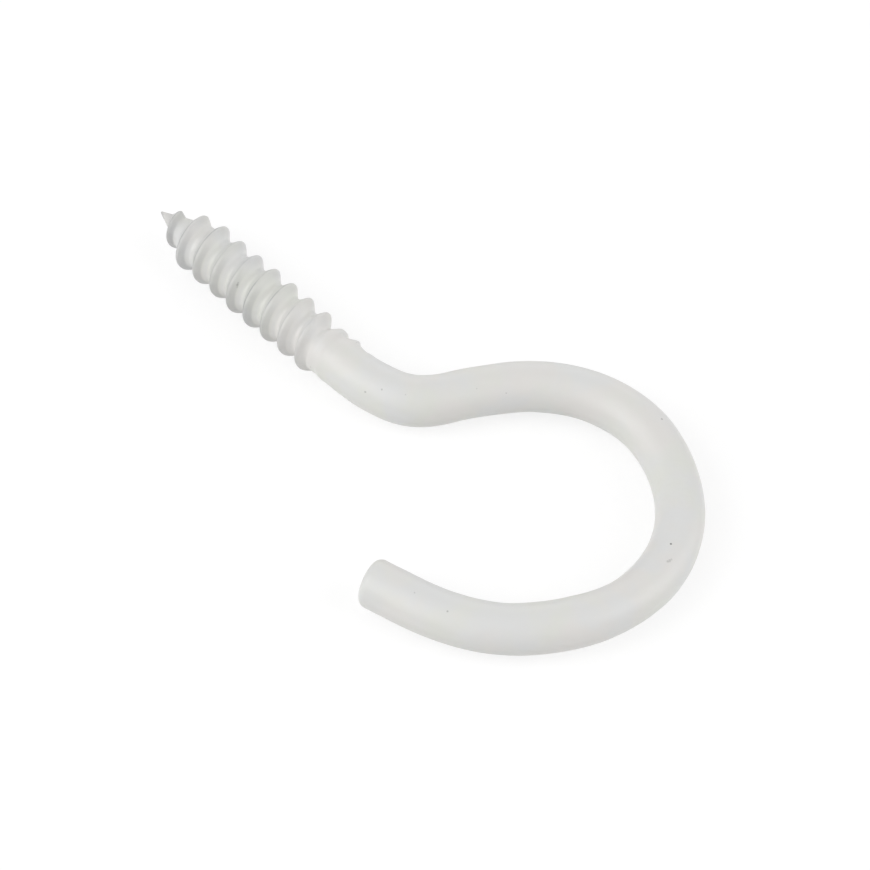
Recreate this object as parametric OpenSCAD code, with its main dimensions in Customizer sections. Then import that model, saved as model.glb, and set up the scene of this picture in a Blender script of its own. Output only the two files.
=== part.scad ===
// Screw hook: one length of steel wire, threaded and pointed at one end and bent into an open
// hook at the other, with a white coating all over. Millimetres.
//
// The hook lies on its side. Its axis of screwing is X, with the point towards -X and the bowl
// towards +X. Every bend lies in the XY plane, and the first one turns towards +Y. The origin is
// on the axis of screwing, at the inner end of the thread, where the face of the wall would be.

/* [Wire] */
// Diameter of the coated wire
wire_d = 4.4; // [3.4:0.1:6]
// Length of plain straight wire between the thread and the first bend
plain_len = 0.7; // [0.2:0.1:6]

/* [Thread] */
// Length of the thread, from the point to the end of its run-out
thread_len = 24; // [18:0.5:36]
// Height of the thread's crests above the plain wire
crest_rise = 0.45; // [0.2:0.05:0.8]
// Depth of the thread's root below the plain wire
root_drop = 0.3; // [0.1:0.05:0.6]
// Distance from one turn of the thread to the next
pitch = 2.15; // [1.8:0.05:2.6]
// Width of the flat of the crest
crest_w = 0.32; // [0.2:0.02:0.5]
// Angle between a flank of the thread and a plane across the axis
flank_angle = 40; // [25:1:45]
// Half angle of the point
point_angle = 22; // [18:1:30]
// Length of the run-out, in which the thread fades into the wire
runout_len = 4; // [3:0.1:6]
// Flat strips in one turn of the thread
turn_steps = 24; // [16:2:32]

/* [Hook] */
// Radius of the first bend, to the middle of the wire
neck_bend_r = 8.1; // [5:0.1:12]
// Angle of the first bend
neck_bend = 60; // [40:1:70]
// Length of straight wire between the first bend and the bowl
neck_len = 4.6; // [1:0.1:8]
// Radius of the bowl, to the middle of the wire
bowl_r = 12.4; // [9:0.1:16]
// Angle of the bowl
bowl_bend = 172; // [150:1:180]
// Radius of the opened end of the hook, to the middle of the wire
lip_r = 18; // [12:0.5:24]
// Angle of the opened end
lip_bend = 60; // [40:1:70]
// Radius of the edge round the cut end of the wire
end_round = 0.7; // [0.3:0.05:1.2]

/* [Hidden] */
coat_colour = "whitesmoke";
$fn = 64;

wire_r = wire_d / 2;
crest_top = wire_r + crest_rise;
root_r = wire_r - root_drop;
straight_len = thread_len + plain_len;

tip_r = 0.08;                      // no point is quite sharp
point_slope = tan(point_angle);
point_len = (root_r - tip_r) / point_slope;

runout_from = thread_len - runout_len;
root_rise_len = 0.6 * runout_len;  // along this the root comes up to the plain wire

corner_w = 0.2;                    // the crest's rounded corner, along the axis and across it
corner_h = 0.12;
ridge_start = 0.7;                 // how far from the tip the ridge rises out of the point,
ridge_rise = 1.3;                  // and how much further on it stands at its full height
first_crest = 1.5;                 // where the crest passes the +Y side first
low_ridge = 0.15;                  // what is left of the crest in the second part of the run-out
sink = 0.15;                       // how far the ridge's foot is let into the body
turn_gap = 0.06;                   // between the foot of one turn and a plane halfway to the next

join_step = 0.01;                  // the neck's bend, the bowl and the cut end are by so little
join_depth = 0.1;                  // thicker than what joins them, which is let in this far
cut_len = end_round + 0.25;        // length of wire at the cut end that stays straight

// Radius of the turned body under the ridge, at x from the tip
function body_r(x) =
    x < point_len ? max(tip_r / 4, tip_r + x * point_slope)
    : x < runout_from ? root_r
    : min(wire_r, root_r + root_drop * (x - runout_from) / root_rise_len);

// From 0, where the ridge starts, to 1, where it is whole
function grown(x) = min(1, max(0, (x - ridge_start) / ridge_rise));

// The crest in the run-out, t from 0 to 1: a quick drop to the low ridge, which then fades away
function runout_crest(t) =
    t < 0.25 ? crest_top + (wire_r + low_ridge - crest_top) * t / 0.25
    : wire_r + low_ridge - (low_ridge + sink / 2) * max(0, t - 0.6) / 0.4;

// Radius of the crest at x from the tip
function crest_r(x) =
    x < runout_from ? body_r(x) + (crest_top - root_r + sink / 2) * grown(x) - sink / 2
    : runout_crest((x - runout_from) / runout_len);

// How far from the middle of the ridge its flank, which starts at the corner, comes down to r
function flank_at(r, corner, corner_r) =
    min(pitch / 2 - turn_gap, corner + (corner_r - r) * tan(flank_angle));

// The foot of the ridge on one side (-1 or 1), as [along the axis from its middle, radius]
function foot(x, side, corner, corner_r) =
    let (near = flank_at(body_r(x) - sink, corner, corner_r),
         r = min(body_r(x), body_r(x + side * near)) - sink)
    [side * flank_at(r, corner, corner_r), max(tip_r / 8, r)];

// The ridge's outline at x from the tip, from its foot on the point's side over to the other
function ridge_outline(x) =
    let (size = 0.25 + 0.75 * grown(x),
         flat = size * crest_w / 2,
         corner = flat + size * corner_w,
         top = crest_r(x),
         corner_r = top - size * corner_h)
    [foot(x, -1, corner, corner_r), [-corner, corner_r], [-flat, top],
     [flat, top], [corner, corner_r], foot(x, 1, corner, corner_r)];

// The ridge of the thread: its outline carried round the axis in a right-hand screw
module ridge() {
    first = ceil((ridge_start - first_crest) / pitch * turn_steps) - 1;
    last = floor((thread_len - first_crest) / pitch * turn_steps);
    outlines = last - first;
    corners = len(ridge_outline(first_crest));
    points = [
        for (i = [first : last])
            let (x = first_crest + pitch * i / turn_steps, turn = 360 * i / turn_steps)
            for (p = ridge_outline(x)) [x + p[0], p[1] * cos(turn), p[1] * sin(turn)]
    ];
    sides = [
        for (i = [0 : outlines - 1], k = [0 : corners - 1])
            let (a = i * corners + k, b = i * corners + (k + 1) % corners)
            each [[a, b, b + corners], [a, b + corners, a + corners]]
    ];
    start_cap = [for (k = [corners - 1 : -1 : 0]) k];
    end_cap = [for (k = [0 : corners - 1]) outlines * corners + k];
    polyhedron(points = points, faces = concat([start_cap, end_cap], sides), convexity = 20);
}

// The turned body of the screw under the ridge, with its tip at the origin
module screw_body() {
    rotate([0, 90, 0])
        rotate_extrude()
            polygon([[0, 0], [tip_r, 0], [root_r, point_len], [root_r, runout_from],
                     [wire_r, runout_from + root_rise_len], [wire_r, straight_len + join_depth],
                     [0, straight_len + join_depth]]);
}

// Places what follows at the end of a bend to the left that starts along +X from the origin
module after_bend(radius, angle) {
    translate([radius * sin(angle), radius * (1 - cos(angle)), 0]) rotate([0, 0, angle]) children();
}

// A bend to the left, from the origin along +X, of a wire of radius r
module bend(radius, angle, r) {
    translate([0, radius, 0]) rotate([0, 0, -90])
        rotate_extrude(angle = angle) translate([radius, 0]) circle(r = r);
}

// Wire bent to the left, from the origin along +X. What follows is placed at its end.
module bend_left(radius, angle) {
    bend(radius, angle, wire_r + join_step);
    after_bend(radius, angle) children();
}

// The same to the right
module bend_right(radius, angle) {
    mirror([0, 1, 0]) bend_left(radius, angle) mirror([0, 1, 0]) children();
}

// A length of straight wire along +X from the origin, let into what it joins at both its ends.
// What follows is placed at its end.
module straight(length) {
    translate([-join_depth, 0, 0]) rotate([0, 90, 0]) cylinder(r = wire_r, h = length + 2 * join_depth);
    translate([length, 0, 0]) children();
}

// The opened end of the hook, let into the bowl and into the cut end. What follows is placed at
// its end.
module lip() {
    back = asin(join_depth / lip_r);
    mirror([0, 1, 0]) {
        after_bend(lip_r, -back) bend(lip_r, lip_bend + 2 * back, wire_r);
        after_bend(lip_r, lip_bend) children();
    }
}

// The end of the wire, cut square across, with its edge rounded, from the origin along +X
module cut_end() {
    r = wire_r + join_step;
    rotate([0, 90, 0])
        rotate_extrude() {
            square([r, cut_len - end_round]);
            square([r - end_round, cut_len]);
            translate([r - end_round, cut_len - end_round])
                intersection() {
                    circle(r = end_round);
                    square(end_round);
                }
        }
}

module screw_hook() {
    color(coat_colour)
        translate([-thread_len, 0, 0]) {
            union() {
                screw_body();
                ridge();
            }
            translate([straight_len, 0, 0])
                bend_left(neck_bend_r, neck_bend)
                    straight(neck_len)
                        bend_right(bowl_r, bowl_bend)
                            lip()
                                cut_end();
        }
}

screw_hook();
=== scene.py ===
# Screw hook: one coated steel wire, threaded and pointed at one end, bent into an open hook.
# The dictionaries are in millimetres and degrees; a mesh is made in metres.
import math

import bpy
import numpy as np
from mathutils import Matrix, Vector


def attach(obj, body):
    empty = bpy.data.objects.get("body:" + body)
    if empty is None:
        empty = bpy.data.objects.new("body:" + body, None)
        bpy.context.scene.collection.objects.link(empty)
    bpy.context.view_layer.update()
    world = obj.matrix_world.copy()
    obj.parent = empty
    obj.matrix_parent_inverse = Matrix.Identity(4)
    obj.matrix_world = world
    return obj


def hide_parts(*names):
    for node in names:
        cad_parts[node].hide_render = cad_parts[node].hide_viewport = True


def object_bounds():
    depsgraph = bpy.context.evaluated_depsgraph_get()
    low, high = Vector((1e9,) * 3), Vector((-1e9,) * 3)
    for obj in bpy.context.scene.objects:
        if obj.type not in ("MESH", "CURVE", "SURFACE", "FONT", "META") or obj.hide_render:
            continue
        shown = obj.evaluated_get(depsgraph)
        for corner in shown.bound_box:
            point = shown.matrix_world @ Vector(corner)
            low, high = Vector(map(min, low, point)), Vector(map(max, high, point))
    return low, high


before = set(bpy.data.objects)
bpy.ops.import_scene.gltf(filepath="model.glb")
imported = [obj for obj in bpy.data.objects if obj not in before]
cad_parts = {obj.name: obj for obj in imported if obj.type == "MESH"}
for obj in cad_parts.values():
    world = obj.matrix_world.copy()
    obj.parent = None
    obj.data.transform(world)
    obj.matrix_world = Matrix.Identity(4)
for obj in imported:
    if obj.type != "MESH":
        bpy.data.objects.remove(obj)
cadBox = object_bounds()
mm = 0.001


class Value:
    # wraps one output socket, so that an expression on it adds the Math nodes it needs
    def __init__(self, nodes, socket):
        self.nodes = nodes
        self.socket = socket

    def math(self, operation, *others):
        settings = {"operation": operation}
        return self.nodes.add("ShaderNodeMath", settings, dict(enumerate((self,) + others)))[0]

    def __add__(self, other):
        return self.math("ADD", other)

    def __sub__(self, other):
        return self.math("SUBTRACT", other)

    def __mul__(self, other):
        return self.math("MULTIPLY", other)

    def __rsub__(self, other):
        return (self * -1) + other

    __radd__ = __add__
    __rmul__ = __mul__

    def larger(self, other):
        return self.math("MAXIMUM", other)

    def between(self, low, high):
        # 0 at low, 1 at high and smooth in between, whichever of the two is greater
        settings = {"interpolation_type": "SMOOTHSTEP"}
        sockets = {"Value": self, "From Min": min(low, high), "From Max": max(low, high)}
        made = self.nodes.add("ShaderNodeMapRange", settings, sockets)["Result"]
        return made if low < high else 1 - made


class Made:
    # a node's outputs, by name or number
    def __init__(self, nodes, node):
        self.nodes = nodes
        self.node = node

    def __getitem__(self, name):
        return Value(self.nodes, self.node.outputs[name])


class Nodes:
    # a node tree that is filled by one method
    def __init__(self, tree):
        tree.nodes.clear()
        self.tree = tree

    def add(self, kind, settings=None, sockets=None):
        node = self.tree.nodes.new(kind)
        for name, value in (settings or {}).items():
            setattr(node, name, value)
        for name, value in (sockets or {}).items():
            if isinstance(value, Value):
                self.tree.links.new(value.socket, node.inputs[name])
            else:
                node.inputs[name].default_value = value
        return Made(self, node)

    def noise(self, place, scale, detail):
        sockets = {"Vector": place, "Scale": scale, "Detail": detail}
        return self.add("ShaderNodeTexNoise", None, sockets)[0]

    def mix(self, share, first, second):
        # numbered sockets: 6 and 7 are the two colours, output 2 is the mixed colour
        return self.add("ShaderNodeMix", {"data_type": "RGBA"}, {0: share, 6: first, 7: second})[2]


def eased(value):
    # 0 below 0, 1 above 1 and a smooth step in between: 3t2 - 2t3
    t = np.clip(value, 0, 1)
    return t * t * (3 - 2 * t)


def ramp(value, start, end):
    # eased from 0 at start to 1 at end, whichever of the two is greater
    return eased((value - start) / (end - start))


def towards(turn, degrees, sharp=1):
    # 1 on the side that the degrees give and less away from it: sharp times the cosine of the
    # angle between them, less (sharp - 1)
    return sharp * np.cos(turn - math.radians(degrees)) - (sharp - 1)


wire = {
    "radius": 2.2,
    "threadEnd": 24.0,       # from the point to the end of the run-out: there x is 0
    "bends": (               # length of each stretch and how far it turns to the left
        (22.6, 0), (1.5, 1.3), (2.2, 9.6), (2.2, 8.6), (2.4, 27.1), (2.4, 17.7), (2.4, -6.2),
        (2.8, -2.6), (5.0, -19.7), (5.2, -24.7), (5.4, -29.5), (5.4, -20.4), (5.4, -25.8),
        (5.4, -25.8), (5.4, -24.4), (5.4, -14.3), (5.4, -22.3), (5.4, -13.8), (3.75, 0)),
    "easing": 0.8,           # along this each stretch fades into the next
    "thickness": (           # how much thicker the wire's radius is, at places along it
        (24, 0), (27.5, 0.055), (30.5, 0.07), (34, 0), (40, 0.03), (53, 0), (58, -0.045),
        (64, -0.06), (69, -0.045), (72.5, -0.085), (77, 0.03), (84, 0), (96, 0)),
    "step": 0.02,            # between the points at which the route is worked out
    "endRound": 0.7,         # radius of the cut end's edge
    "endTilt": (4, 100),     # how far the cut is from square, and the side that sticks out
    "tiltOver": 1.5,         # length of wire along which the tilt sets in
    "unevenness": 0.005,     # how far the coating stands out or falls short, as a rule
    "waves": 65,             # how many waves make up the coating's unevenness,
    "waveLength": (2.4, 6),  # the shortest and the longest,
    "waveTurns": 6,          # how many times one goes round the wire at most, either way,
    "waveSeed": 4,           # and which set of them it is
    "threadShare": 0.4,      # how much of the unevenness there is on the thread,
    "wholeShare": (18, 24),  # where it rises to all of it,
    "calmPoint": 6,          # and how far from the tip the thread's share is reached
    "around": 128,           # points in one ring
    "ringStep": 0.3,         # between two rings on the plain wire
    "fineBeyond": 0.6,       # how far past the thread the rings stay as close as on it
    "edgeRings": 12,         # rings on the cut end's rounded edge, and on its face
    "faceRings": 7,
    "mapUnit": 100,          # the length that is 1 in the UV map
}

thread = {
    "pitch": 2.15,
    "firstCrest": 1.5,       # where the crest passes the +Y side first
    "tipRadius": 0.08,
    "pointSlope": 0.404,     # how much the core of the point widens for each unit of length
    "pointSoft": 0.12,       # how softly the point passes into the root,
    "pointLift": 0.012,      # and what is added for the thickness that this takes off
    "depth": (               # how far the root lies inside the wire, at places along it
        (0, 0.32), (19.0, 0.32), (19.9, 0.5), (20.6, 0.07), (21.2, 0), (21.8, 0.1), (22.6, 0),
        (24, 0)),
    "rise": (                # how far the crest stands out of the wire
        (0, -2.2), (0.6, -1.88), (1.0, -1.5), (1.6, -0.97), (2.7, -0.4), (3.8, 0.15), (4.9, 0.44),
        (6.0, 0.54), (7.1, 0.43), (8.2, 0.47), (9.2, 0.42), (10.3, 0.47), (12.5, 0.53), (14.6, 0.53),
        (16.8, 0.49), (18.8, 0.49), (19.9, 0.48), (21.0, 0.04), (22.1, 0.05), (23.2, 0), (24, 0)),
    "flat": 0.05,            # half width of the flat of the crest
    "flanks": (0.62, 0.8),   # width of the flank towards the point, and of the other
    "crestRound": 0.2,       # share of the flank that rounds the crest, and the root
    "rootRound": 0.12,
    "early": (0.24, 7.0),    # how far the first crests lie towards the point, and up to where
    "thin": 0.32,            # how much narrower the first crest is
    "last": (0.35, 19.0, 20.5),  # how much narrower the last crests are, and from where to where
    "lean": (0.03, 208),     # how far the crests stand out more on one side, and at which turn
    "leanRise": 0.4,         # height of a crest that leans in full
    "burrs": (               # where each starts, is whole, breaks off and ends; its turn, height
        (19.8, 20.15, 20.35, 20.8, 28, -0.42), (20.2, 20.75, 21.45, 21.6, 28, 0.13),
        (21.42, 21.6, 21.75, 22.1, 28, -0.15), (21.95, 22.75, 22.8, 23.1, 26, 0.22),
        (23.1, 23.7, 24.1, 24.6, 30, -0.07)),
    "burrWidth": 20,         # half the angle that a burr takes up
    "ringStep": 0.05,        # between two rings
}

# painted shade on the thread: its grooves, crest edges, low side and tip darker, partly a thinner
# coat; and a painted bounce light beside the root
shadeAndThinCoat = {
    "band": (-1.3, -0.35, 0.38, 0.85),      # across the crest: starts, is whole, fades and ends
    "bandShare": (                         # how dark the painted shade is there, partly a thinner coat, at places along the screw
        (0, 0.26), (1.0, 0.32), (1.9, 0.36), (2.4, 0.32), (3.1, 0.26), (3.7, 0.2), (5, 0.18),
        (13, 0.18), (15.5, 0.14), (18, 0.08), (20, 0.08), (22, 0)),
    "lowSide": (0.85, 185),                # how much darker still with painted shade on the low side, and at which turn
    "line": (-0.17, 0.07),                 # middle and half width of the line on the crest's edge
    "wander": ((2.9, 1.0), (7.3, 0), (17.9, 2.0)),  # how close its waves are, where they start
    "wanderShare": (0.6, 0.25),            # how much of it is there without them, and their share
    "lineShare": (                         # how dark the line is, painted shade where the crest hides the root and partly a thinner coat, at places along the screw
        (0, 0.6), (3.8, 0.8), (5.0, 0.6), (6.5, 0.55), (8.2, 0.25), (10.6, 0.2), (12.6, 0.6),
        (15, 0.5), (17, 0.3), (19, 0.1), (20, 0), (24, 0)),
    "lowLine": (0.24, 0.22),               # how dark the low side's line of painted shade is, and half its width
    "lowLineSharp": 3,                     # how quickly that line ends round the screw
    "lowLineFrom": (3, 11),                # where along the screw it starts and is whole
    "lowLineTo": (21, 19),                 # where it ends and is still whole
    "lowEdge": (0.16, 230),                # how much further the band reaches, and at which turn
    "thick": (-0.5, 160, 2),               # painted bounce light beside the root: how much lighter (below 0), at which turn, how sharp
    "thickAcross": (0.5, 0.8, 1.07, 0.95),  # starts, is whole, ends and is still whole
    "thickTo": (20.5, 17.5),               # where along the screw it ends and is still whole
    # how much darker the tip is, painted shade and partly a thinner coat, at places along it
    "tipShare": ((0, 0.05), (0.5, 0.1), (1.3, 0.22), (2.2, 0.12), (4, 0.05), (5, 0), (24, 0)),
    "tipTo": (4, 6),                       # between these the tip's share stops counting
}


def through(s, knots):
    # a smooth curve through given values: a cubic between each two, whose slope at each is that
    # of the line between its neighbours
    places, values = np.array(knots, float).T
    slopes = np.empty(len(places))
    slopes[1:-1] = (values[2:] - values[:-2]) / (places[2:] - places[:-2])
    slopes[[0, -1]] = 0
    i = np.clip(np.searchsorted(places, s) - 1, 0, len(places) - 2)
    gap = places[i + 1] - places[i]
    t = np.clip((s - places[i]) / gap, 0, 1)
    ends = values[i] + (values[i + 1] - values[i]) * eased(t)
    return ends + gap * t * (1 - t) * (slopes[i] * (1 - t) - slopes[i + 1] * t)


def routeOf():
    # A curve whose curvature is a step for each stretch, softened by a running mean: its heading
    # is the sum of the curvature along it, and its points are the sum of the heading's direction.
    lengths, turns = np.array(wire["bends"], float).T
    ends = np.cumsum(lengths)
    along = np.linspace(0, ends[-1], round(ends[-1] / wire["step"]) + 1)
    bend = (np.radians(turns) / lengths)[
        np.minimum(np.searchsorted(ends, along, side="right"), len(ends) - 1)]
    width = round(wire["easing"] / wire["step"])
    padded = np.pad(bend, width, mode="edge")
    bend = np.convolve(padded, np.ones(2 * width + 1) / (2 * width + 1), mode="valid")
    gap = along[1] - along[0]
    summed = np.concatenate([[0], np.cumsum((bend[1:] + bend[:-1]) / 2)]) * gap
    middle = (summed[1:] + summed[:-1]) / 2
    x = np.concatenate([[0], np.cumsum(np.cos(middle))]) * gap - wire["threadEnd"]
    y = np.concatenate([[0], np.cumsum(np.sin(middle))]) * gap
    return along, summed, x, y


def wholeRadius(s):
    # of the wire, as if it had no thread
    return wire["radius"] + through(s, wire["thickness"])


def coreRadius(s):
    # a cone from the tip up to the root, which then comes up to the plain wire: the smaller of
    # the two, with a hyperbola that rounds the change
    cone = thread["tipRadius"] + thread["pointSlope"] * s
    root = wholeRadius(s) - through(s, thread["depth"])
    smaller = (cone + root - np.sqrt((cone - root) ** 2 + thread["pointSoft"] ** 2)) / 2
    return smaller + thread["pointLift"]


def fromCrest(s, turn):
    # How far past the nearest crest a point lies, and the place of that crest: it moves along
    # the axis by one pitch in each turn. The first crests lie a little closer to the point.
    lead = s - thread["firstCrest"] - thread["pitch"] * turn / math.tau
    off = lead - thread["pitch"] * np.round(lead / thread["pitch"])
    crest = s - off
    shift, until = thread["early"]
    shifted = shift * (1 - eased(crest / until)) * np.cos(math.pi * off / thread["pitch"])
    return off + shifted, crest


def threadRadius(s, turn):
    # The core plus the ridge. A flank falls in a straight line from the crest, and a hyperbola
    # rounds it at both its ends.
    off, crest = fromCrest(s, turn)
    extra, side = thread["lean"]
    rise = through(crest, thread["rise"])
    rise = rise + extra * towards(turn, side) * np.clip(rise / thread["leanRise"], 0, 1)
    height = np.maximum(0, wholeRadius(crest) + rise - coreRadius(crest))
    amount, start, end = thread["last"]
    narrow = 1 - thread["thin"] * (1 - eased(crest / thread["early"][1]))
    narrow = narrow * (1 - amount * ramp(crest, start, end))
    width = np.where(off < 0, thread["flanks"][0], thread["flanks"][1]) * narrow
    beyond = np.maximum(0, np.abs(off) - thread["flat"] * narrow)
    near, far = thread["crestRound"], thread["rootRound"]
    left = 1 + near - np.hypot(beyond / width, near)
    return coreRadius(s) + height * (left + np.hypot(left, far)) / 2


def burrHeight(s, turn):
    # each burr is a smooth step up and a smooth step down along the wire, times a bell round it
    total = 0
    for start, whole, broken, end, side, height in thread["burrs"]:
        away = (turn - math.radians(side) + math.pi) % math.tau - math.pi
        bell = np.exp(-(away / math.radians(thread["burrWidth"])) ** 2)
        along = ramp(s, start, whole) * (1 - ramp(s, broken, end))
        total = total + height * bell * along
    return total


def coatWaves(s, turn):
    # many waves along and round the wire, each of which goes round a whole number of times, added
    # up and divided by the root of half their number, so that their usual height is 1
    shape = np.random.default_rng(wire["waveSeed"])
    most = wire["waveTurns"]
    total = np.zeros(np.broadcast(s, turn).shape)
    for number in range(wire["waves"]):
        length, start = shape.uniform(*wire["waveLength"]), shape.uniform(0, math.tau)
        total += np.sin(math.tau * s / length + (number % (2 * most + 1) - most) * turn + start)
    return total / math.sqrt(wire["waves"] / 2)


def shadeAndThinCoatShare(s, turn):
    # How much darker the colour is made, or lighter if it is less than 0: mostly painted shade of
    # the thread's grooves and its low side, partly a thinner coat: a band over each crest, a narrow
    # line on its edge towards the point that comes and goes along the crest, a second line on the
    # crest's low side, a painted bounce light beside the root on the low side, and the darker tip
    off, crest = fromCrest(s, turn)
    start, whole, fading, end = shadeAndThinCoat["band"]
    further, side = shadeAndThinCoat["lowEdge"]
    further = further * eased(towards(turn, side))
    fading, end = fading + further, end + further
    band = ramp(off, start, whole) * (1 - ramp(off, fading, end))
    more, lowest = shadeAndThinCoat["lowSide"]
    band = band * (1 + more * eased(towards(turn, lowest)))
    middle, half = shadeAndThinCoat["line"]
    wander = sum(np.sin(often * crest + begun) for often, begun in shadeAndThinCoat["wander"])
    usual, part = shadeAndThinCoat["wanderShare"]
    line = np.exp(-((off - middle) / half) ** 2) * eased(usual + part * wander)
    share = band * through(crest, shadeAndThinCoat["bandShare"]) + line * through(crest, shadeAndThinCoat["lineShare"])
    amount, half = shadeAndThinCoat["lowLine"]
    start, whole = shadeAndThinCoat["lowLineFrom"]
    low = np.clip(towards(turn, lowest, shadeAndThinCoat["lowLineSharp"]), 0, 1)
    low = low * ramp(crest, *shadeAndThinCoat["lowLineTo"]) * np.clip((crest - start) / (whole - start), 0, 1)
    share = share + amount * low * np.exp(-(off / half) ** 2)
    amount, side, sharp = shadeAndThinCoat["thick"]
    start, whole, end, fading = shadeAndThinCoat["thickAcross"]
    root = ramp(off, start, whole) * ramp(off, end, fading) * ramp(s, *shadeAndThinCoat["thickTo"])
    share = share + amount * root * eased(towards(turn, side, sharp))
    return np.maximum(share, through(s, shadeAndThinCoat["tipShare"]) - ramp(s, *shadeAndThinCoat["tipTo"]))


def ringsOf(length):
    # where the rings stand along the wire and how much smaller each is than the wire there:
    # close together on the thread, wide apart on the plain wire, round at the edge of the cut
    # end and drawn in over its face
    bare = wire["threadEnd"] + wire["fineBeyond"]
    fine = np.arange(0.0, bare, thread["ringStep"])
    edge = wire["endRound"]
    steps = round((length - edge - bare) / wire["ringStep"])
    coarse = np.linspace(bare, length - edge, steps + 1)
    arc = np.radians(np.linspace(0, 90, wire["edgeRings"] + 1))[1:]
    inset = edge * (1 - np.cos(arc))
    face = np.linspace(edge, wire["radius"], wire["faceRings"] + 2)[1:-1]
    atFace = np.full(len(face), length)
    s = np.concatenate([fine, coarse, length - edge + edge * np.sin(arc), atFace])
    less = np.concatenate([np.zeros(len(fine) + len(coarse)), inset, face])
    return s, less


def placed(s, turn, radius, ahead=0):
    # a point beside the route: its centre + radius (cos turn * left + sin turn * up) + ahead
    along, heading, x, y = routeOf()
    h = np.interp(s, along, heading)
    side = radius * np.cos(turn)
    return np.stack([np.interp(s, along, x) - side * np.sin(h) + ahead * np.cos(h),
                     np.interp(s, along, y) + side * np.cos(h) + ahead * np.sin(h),
                     radius * np.sin(turn)], -1)


def wireSurface():
    # radius(s, turn) carried along the route: the thread's radius, plus its burrs and the
    # coating's waves, drawn in at the cut end, which leans over by the tangent of its tilt
    along, _, x, y = routeOf()
    s, less = ringsOf(along[-1])
    turn = np.arange(wire["around"]) * math.tau / wire["around"]
    ss, tt = np.meshgrid(s, turn, indexing="ij")
    radius = threadRadius(ss, tt) + burrHeight(ss, tt)
    share = wire["threadShare"]
    share = share + (1 - share) * ramp(ss, *wire["wholeShare"])
    share = share * np.clip(ss / wire["calmPoint"], 0, 1)
    radius = radius + wire["unevenness"] * share * coatWaves(ss, tt)
    radius = radius * (1 - less / wire["radius"])[:, None]
    tilt, side = np.radians(wire["endTilt"])
    near = eased(1 - (s[-1] - ss) / wire["tiltOver"])
    ahead = math.tan(tilt) * radius * np.cos(tt - side) * near
    points = placed(ss, tt, radius, ahead)
    tip = np.array([x[0] - thread["tipRadius"] / 2, y[0], 0])
    end = np.array([x[-1], y[-1], 0])
    return points, tip, end, s, turn


def tubeMesh(name, points, first, last, s, turn):
    # quads between each ring and the next, and a fan from each end's middle point
    rings, around = points.shape[:2]
    vertices = np.concatenate([points.reshape(-1, 3), [first, last]]) * mm
    i, j = np.meshgrid(np.arange(rings - 1), np.arange(around), indexing="ij")
    k = (j + 1) % around
    quads = np.stack([i * around + j, i * around + k, (i + 1) * around + k, (i + 1) * around + j],
                     -1).reshape(-1, 4)
    ring = np.arange(around)
    after = (ring + 1) % around
    base = (rings - 1) * around
    start = np.stack([np.full(around, rings * around), after, ring], -1)
    finish = np.stack([np.full(around, rings * around + 1), base + ring, base + after], -1)
    mesh = bpy.data.meshes.new(name)
    mesh.from_pydata(vertices.tolist(), [], quads.tolist() + start.tolist() + finish.tolist())
    # the map's u is the way round and its v the way along
    uAt = np.append(turn, math.tau) * wire["radius"] / wire["mapUnit"]
    vAt = s / wire["mapUnit"]
    u = np.stack([uAt[j], uAt[j + 1], uAt[j + 1], uAt[j]], -1).ravel()
    v = np.stack([vAt[i], vAt[i], vAt[i + 1], vAt[i + 1]], -1).ravel()
    middle = uAt[:-1] + uAt[1] / 2
    startU = np.stack([middle, uAt[1:], uAt[:-1]], -1).ravel()
    finishU = np.stack([middle, uAt[:-1], uAt[1:]], -1).ravel()
    ends = np.concatenate([np.full(3 * around, vAt[0]), np.full(3 * around, vAt[-1])])
    pairs = np.stack([np.concatenate([u, startU, finishU]), np.concatenate([v, ends])], -1)
    mesh.uv_layers.new(name="alongWire").data.foreach_set("uv", pairs.ravel())
    # the share of painted shade, partly a thinner coat, and below 0 of painted bounce light, at each
    # point
    thin = np.append(shadeAndThinCoatShare(s[:, None], turn).ravel(), [0, 0])
    mesh.attributes.new("shadeAndThinCoat", "FLOAT", "POINT").data.foreach_set("value", thin)
    mesh.polygons.foreach_set("use_smooth", np.ones(len(mesh.polygons), bool))
    mesh.update()
    made = bpy.data.objects.new(name, mesh)
    bpy.context.scene.collection.objects.link(made)
    return made


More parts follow.
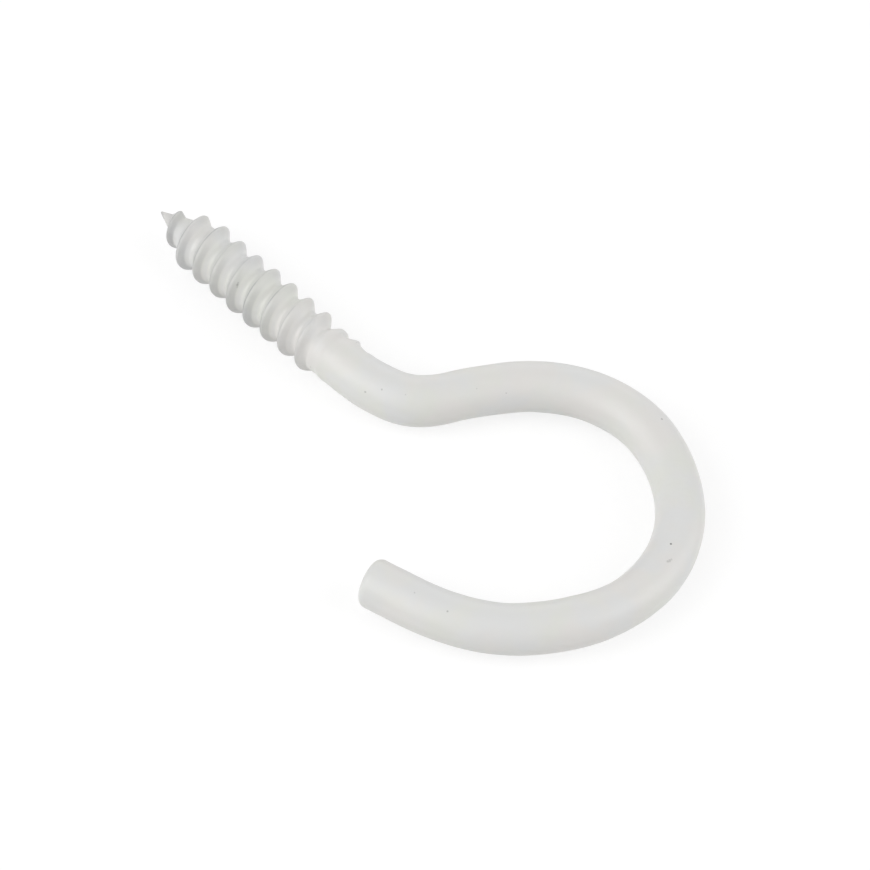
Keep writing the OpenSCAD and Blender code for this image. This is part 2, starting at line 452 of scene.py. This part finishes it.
coating = {
    "rosy": (0.737, 0.722, 0.699, 1),
    "greenish": (0.725, 0.730, 0.688, 1),
    "cool": (0.719, 0.722, 0.716, 1),
    # colour of the painted shade on the thread, partly grey steel through a thin coat
    "thin": (0.30, 0.305, 0.31, 1),
    # colour of the painted bounce light beside the thread's root
    "thick": (0.84, 0.84, 0.83, 1),
    "speck": (0.06, 0.055, 0.05, 1),
    "tintPatches": (230, 3, 0.38, 0.62),  # noise scale and detail, and where rosy gives way
    "coolPatches": (260, 2, 0.4, 0.7),    # the same for the cool tint
    "coolShift": (1, 2, 3),               # keeps its patches apart from the first ones
    "thinGrain": (1500, 3, 0.5, 0.75),    # noise in the painted shade and thin coat: scale, detail, height, least
    "glossPatches": (420, 2),             # noise scale and detail of the roughness
    "roughness": (0.34, 0.46),
    "peel": 0.1,             # height of the coating's fine waves,
    "peelNoise": (650, 2),   # their noise scale and detail,
    "peelStrength": 0.6,
    "speckDepth": 0.3,       # and how deep a speck lies beside them
    "specks": (              # along the wire, turn, radius and how dark
        (66.1, 92.5, 0.08, 0.9), (67.75, 77, 0.13, 0.26), (67.58, 74.5, 0.14, 0.26),
        (67.4, 72.5, 0.1, 0.2), (52.9, 66, 0.08, 0.5), (87.95, 70, 0.08, 0.35),
        (38.2, 136, 0.07, 0.3), (27.85, 121, 0.09, 0.3), (26.7, 143, 0.1, 0.35),
        (29.7, 115, 0.06, 0.2), (35.6, 117, 0.06, 0.2), (91.1, 82, 0.07, 0.2),
        (11.38, 133, 0.1, 0.4), (11.34, 129, 0.07, 0.35), (11.45, 137, 0.07, 0.3),
        (21.7, 38, 0.08, 0.5), (22.9, 42, 0.07, 0.4), (21.2, 183, 0.07, 0.5),
        (74.0, 250, 0.08, 0.5), (46.5, 300, 0.07, 0.4), (57.0, 20, 0.07, 0.3),
        (84.0, 230, 0.07, 0.4)),
    "speckEdge": (1.3, 0.5),  # where a speck starts and is whole, in its radius
    "ragged": 0.2,           # how far a speck's edge is pushed about,
    "raggedScale": 5000,     # and the noise scale of that
}


def specksAt(nodes, place):
    # how dark the specks are: the distance to a middle is small, once the place is pushed about
    push = nodes.add("ShaderNodeTexNoise", None,
                     {"Vector": place, "Scale": coating["raggedScale"]})["Color"]
    ragged = coating["ragged"] * mm
    start, whole = coating["speckEdge"]
    moved = nodes.add("ShaderNodeVectorMath", {"operation": "MULTIPLY_ADD"},
                      {0: push, 1: (ragged,) * 3, 2: place})[0]
    share = None
    for s, degrees, size, dark in coating["specks"]:
        turn = math.radians(degrees)
        middle = placed(s, turn, threadRadius(s, turn)) * mm + ragged / 2
        away = nodes.add("ShaderNodeVectorMath", {"operation": "DISTANCE"},
                         {0: moved, 1: tuple(middle)})["Value"]
        speck = away.between(start * size * mm, whole * size * mm) * dark
        share = share.larger(speck) if share else speck
    return share


def coatingMaterial():
    # three tints in patches, greyer with painted shade on the thread, partly a thin coat, and whiter
    # with a painted bounce light beside its root, with specks, patches of gloss and fine waves
    material = bpy.data.materials.new("whiteCoating")
    material.use_nodes = True
    nodes = Nodes(material.node_tree)
    place = nodes.add("ShaderNodeTexCoord")["Object"]
    scale, detail, low, high = coating["tintPatches"]
    rosy = nodes.noise(place, scale, detail)
    tint = nodes.mix(rosy.between(low, high), coating["rosy"], coating["greenish"])
    shifted = nodes.add("ShaderNodeVectorMath", {"operation": "ADD"},
                        {0: place, 1: coating["coolShift"]})[0]
    scale, detail, low, high = coating["coolPatches"]
    cool = nodes.noise(shifted, scale, detail)
    colour = nodes.mix(cool.between(low, high), tint, coating["cool"])
    # painted shade on the thread, partly a thin coat, and below 0 a painted bounce light
    thin = nodes.add("ShaderNodeAttribute", {"attribute_name": "shadeAndThinCoat"})["Fac"]
    scale, detail, height, least = coating["thinGrain"]
    uneven = nodes.noise(place, scale, detail) * height + least
    colour = nodes.mix((thin * uneven).larger(0), colour, coating["thin"])
    # painted bounce light beside the root, where the share is below 0
    colour = nodes.mix((thin * -1).larger(0), colour, coating["thick"])
    specks = specksAt(nodes, place)
    colour = nodes.mix(specks, colour, coating["speck"])
    low, high = coating["roughness"]
    rough = nodes.noise(place, *coating["glossPatches"]) * (high - low) + low
    peel = nodes.noise(place, *coating["peelNoise"]) - specks * coating["speckDepth"]
    bump = nodes.add("ShaderNodeBump", None, {
        "Strength": coating["peelStrength"], "Distance": coating["peel"] * mm,
        "Height": peel})["Normal"]
    surface = nodes.add("ShaderNodeBsdfPrincipled", None, {
        "Base Color": colour, "Roughness": rough, "Normal": bump, "IOR": 1.5})["BSDF"]
    nodes.add("ShaderNodeOutputMaterial", None, {"Surface": surface})
    return material


points, tip, end, s, turn = wireSurface()
hook = tubeMesh("coated_wire", points, tip, end, s, turn)
hook.data.materials.append(coatingMaterial())
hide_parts("screw_hook")
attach(hook, "root")
print("wire:", len(hook.data.polygons), "faces,", len(coating["specks"]), "specks")

studio = {
    "floor": 3000.0,         # side of the floor
    "floorColour": (0.85, 0.85, 0.85, 1),
    "shadowShare": 0.3,      # how much of the floor's own shading the camera sees,
    "floorLight": 0.85,      # and how bright a white floor is in these lamps
    "world": 0.4,            # strength of the light from all round
    "lampDistance": 700.0,
    "lamps": {               # name: (azimuth from +X towards +Y, elevation, size, watts)
        "left": (-123, 38, 550, 1.35),
        "leftFront": (-91, 38, 550, 0.77),
        "leftLow": (-128, 12, 550, 0.41),
        "leftAbove": (-131, 64, 550, 0.59),
        "right": (26, 38, 550, 1.13),
        "rightLow": (45, 12, 550, 1.16),
        "behind": (124, 12, 550, 0.76),
    },
}


def directionOf(azimuth, elevation):
    # the way from the middle to an azimuth and an elevation, with a length of 1
    azimuth, elevation = math.radians(azimuth), math.radians(elevation)
    level = math.cos(elevation)
    return Vector((level * math.cos(azimuth), level * math.sin(azimuth), math.sin(elevation)))


def cameraRays(nodes):
    # 1 for what the camera sees itself, in a gloss or through glass
    path = nodes.add("ShaderNodeLightPath")
    return path["Is Camera Ray"].larger(path["Is Glossy Ray"]).larger(path["Is Transmission Ray"])


def floorMaterial():
    # a white floor: the camera sees a plain white, less a share of the object's shadow
    material = bpy.data.materials.new("paleFloor")
    material.use_nodes = True
    nodes = Nodes(material.node_tree)
    share = studio["shadowShare"]
    lit = nodes.add("ShaderNodeBsdfDiffuse", None, {"Color": studio["floorColour"]})[0]
    seen = nodes.add("ShaderNodeBsdfDiffuse", None, {"Color": (share, share, share, 1)})[0]
    strength = 1 - studio["floorLight"] * share
    glow = nodes.add("ShaderNodeEmission", None, {"Strength": strength})[0]
    both = nodes.add("ShaderNodeAddShader", None, {0: seen, 1: glow})[0]
    mixed = nodes.add("ShaderNodeMixShader", None, {0: cameraRays(nodes), 1: lit, 2: both})[0]
    nodes.add("ShaderNodeOutputMaterial", None, {"Surface": mixed})
    return material


def makeStudio():
    # a floor at the part's lowest point, a world that the camera sees as white, and the lamps
    half = studio["floor"] / 2 * mm
    low = cadBox[0][2]
    mesh = bpy.data.meshes.new("floor")
    corners = [(-half, -half, low), (half, -half, low), (half, half, low), (-half, half, low)]
    mesh.from_pydata(corners, [], [(0, 1, 2, 3)])
    floor = bpy.data.objects.new("floor", mesh)
    bpy.context.scene.collection.objects.link(floor)
    mesh.materials.append(floorMaterial())
    world = bpy.data.worlds.new("studio")
    bpy.context.scene.world = world
    world.use_nodes = True
    nodes = Nodes(world.node_tree)
    seen = cameraRays(nodes)
    strength = seen * (1 - studio["world"]) + studio["world"]
    sky = nodes.add("ShaderNodeBackground", None, {"Color": (1, 1, 1, 1), "Strength": strength})[0]
    nodes.add("ShaderNodeOutputWorld", None, {"Surface": sky})
    for name, (azimuth, elevation, size, watts) in studio["lamps"].items():
        lamp = bpy.data.lights.new(name, "AREA")
        lamp.shape = "DISK"
        lamp.size = size * mm
        lamp.energy = watts
        stand = bpy.data.objects.new(name, lamp)
        bpy.context.scene.collection.objects.link(stand)
        way = directionOf(azimuth, elevation)
        stand.location = way * studio["lampDistance"] * mm
        stand.rotation_euler = way.to_track_quat("Z", "Y").to_euler()


view = {
    "aim": (9.8, 0.5, 0.0),  # the point in the middle of the picture
    "distance": 390.0,
    "azimuth": -50.47,       # of the camera seen from that point, from +X towards +Y
    "elevation": 54.80,
    "roll": 5.98,            # the picture's right side is raised by this
    "lens": 186.2,
    "sensor": 36.0,
    "nearest": 10.0,         # what is closer to the camera isn't drawn
}


def makeCamera():
    # looks back along the line from the aim, and is turned about that line by the roll
    camera = bpy.data.cameras.new("camera")
    camera.lens = view["lens"]
    camera.sensor_width = view["sensor"]
    camera.clip_start = view["nearest"] * mm
    stand = bpy.data.objects.new("camera", camera)
    bpy.context.scene.collection.objects.link(stand)
    back = directionOf(view["azimuth"], view["elevation"])
    right = Vector((0, 0, 1)).cross(back).normalized()
    up = back.cross(right)
    turned = Matrix.Rotation(math.radians(view["roll"]), 3, back)
    right, up = turned @ right, turned @ up
    pose = Matrix((right, up, back)).transposed().to_4x4()
    pose.translation = (Vector(view["aim"]) + back * view["distance"]) * mm
    stand.matrix_world = pose
    bpy.context.scene.camera = stand


makeStudio()
makeCamera()
bpy.context.scene.view_settings.view_transform = "Standard"
print("studio and camera")
